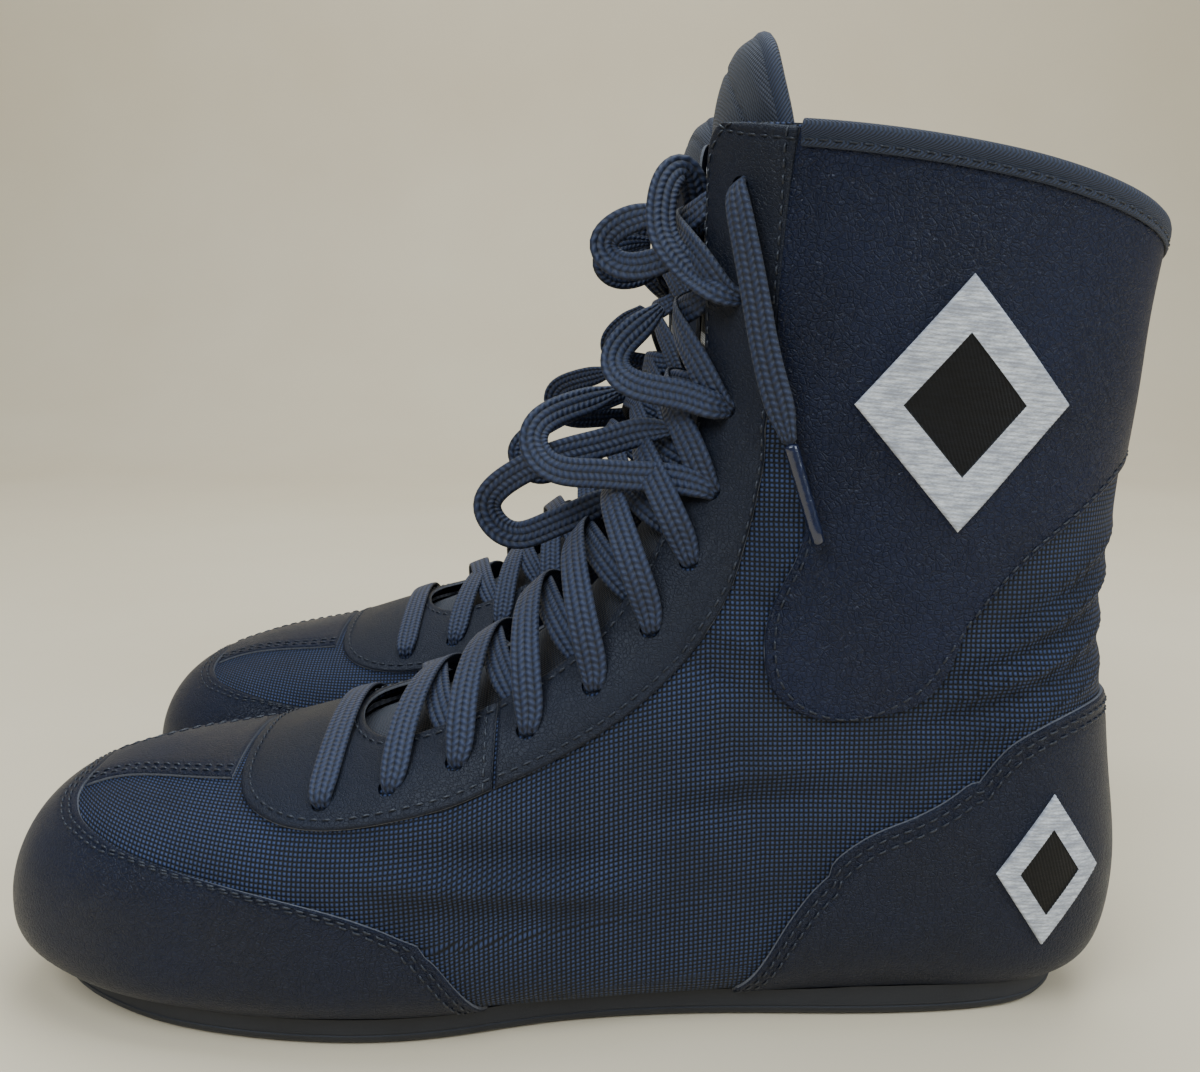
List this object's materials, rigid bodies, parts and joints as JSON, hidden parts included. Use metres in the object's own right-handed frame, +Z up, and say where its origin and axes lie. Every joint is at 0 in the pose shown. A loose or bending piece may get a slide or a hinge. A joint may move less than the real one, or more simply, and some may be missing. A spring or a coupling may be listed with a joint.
{
  "type": "boxing boots",
  "caption": "High-top lace-up boxing boots with thin flat rubber soles, woven mesh uppers, leather toe, heel, eyestay and ankle panels, padded tongues and flat laces.",
  "frame": {"origin": "on the floor under the middle of the pair: the centre of the bounding box's bottom face, between the two boots", "axes": "-X towards the toes, +X towards the heels, -Y the left boot's side, +Y the right boot's side, +Z up; the soles stand on Z = 0"},
  "size_m": [0.2985, 0.233, 0.2434],
  "materials": {
    "outsole_rubber": "matt moulded rubber with a fine tread",
    "insole_board": "pressed fibre board",
    "sockliner_foam": "knitted fabric over foam",
    "stiffener_plastic": "thermoformed sheet",
    "upper_mesh": "square woven mesh, dark blue-grey",
    "lining_fabric": "knitted lining",
    "smooth_leather": "fine-grained coated leather, satin",
    "matte_leather": "matt split leather with a coated face",
    "grained_leather": "pebble-grained leather, satin",
    "binding_tape": "twill tape",
    "embroidery_thread": "white satin-stitch embroidery",
    "tongue_fabric": "padded woven fabric",
    "label_fabric": "woven label, plain",
    "lace_cord": "flat woven polyester lace",
    "aglet_plastic": "glossy plastic film"
  },
  "bodies": {
    "left_boot": {"left_outsole": "outsole_rubber", "left_insole_board": "insole_board", "left_sockliner": "sockliner_foam", "left_heel_stiffener": "stiffener_plastic", "left_toe_puff": "stiffener_plastic", "left_vamp_mesh": "upper_mesh", "left_quarter_mesh_outer": "upper_mesh", "left_quarter_mesh_inner": "upper_mesh", "left_lining_outer": "lining_fabric", "left_lining_inner": "lining_fabric", "left_toe_cap": "smooth_leather", "left_toe_bridge": "smooth_leather", "left_heel_cover": "smooth_leather", "left_throat_overlay": "matte_leather", "left_eyestay_outer": "matte_leather", "left_eyestay_inner": "matte_leather", "left_shaft_panel_outer": "grained_leather", "left_shaft_panel_inner": "grained_leather", "left_backstay": "smooth_leather", "left_collar_binding": "binding_tape", "left_shaft_badge": "embroidery_thread", "left_heel_badge": "embroidery_thread", "left_lace": "lace_cord", "left_lace_end_outer": "lace_cord", "left_lace_end_inner": "lace_cord", "left_aglet_outer": "aglet_plastic", "left_aglet_inner": "aglet_plastic"},
    "left_tongue": {"left_tongue": "tongue_fabric", "left_tongue_label": "label_fabric"},
    "right_boot": {"right_outsole": "outsole_rubber", "right_insole_board": "insole_board", "right_sockliner": "sockliner_foam", "right_heel_stiffener": "stiffener_plastic", "right_toe_puff": "stiffener_plastic", "right_vamp_mesh": "upper_mesh", "right_quarter_mesh_outer": "upper_mesh", "right_quarter_mesh_inner": "upper_mesh", "right_lining_outer": "lining_fabric", "right_lining_inner": "lining_fabric", "right_toe_cap": "smooth_leather", "right_toe_bridge": "smooth_leather", "right_heel_cover": "smooth_leather", "right_throat_overlay": "matte_leather", "right_eyestay_outer": "matte_leather", "right_eyestay_inner": "matte_leather", "right_shaft_panel_outer": "grained_leather", "right_shaft_panel_inner": "grained_leather", "right_backstay": "smooth_leather", "right_collar_binding": "binding_tape", "right_shaft_badge": "embroidery_thread", "right_heel_badge": "embroidery_thread", "right_lace": "lace_cord", "right_lace_end_outer": "lace_cord", "right_lace_end_inner": "lace_cord", "right_aglet_outer": "aglet_plastic", "right_aglet_inner": "aglet_plastic"},
    "right_tongue": {"right_tongue": "tongue_fabric", "right_tongue_label": "label_fabric"}
  },
  "joints": [
    {"name": "right_boot_lift", "type": "slide", "parent": "left_boot", "child": "right_boot", "axis": [0, 0, 1], "range_m": [0, 0.15]},
    {"name": "left_tongue_swing", "type": "hinge", "parent": "left_boot", "child": "left_tongue", "pos_m": [-0.0482, -0.065, 0.07], "axis": [0, 1, 0], "range_deg": [0, 8], "stiffness_Nm_per_rad": 0.3, "springref_deg": -14.32},
    {"name": "right_tongue_swing", "type": "hinge", "parent": "right_boot", "child": "right_tongue", "pos_m": [-0.0482, 0.065, 0.07], "axis": [0, 1, 0], "range_deg": [0, 8], "stiffness_Nm_per_rad": 0.3, "springref_deg": -14.32}
  ]
}
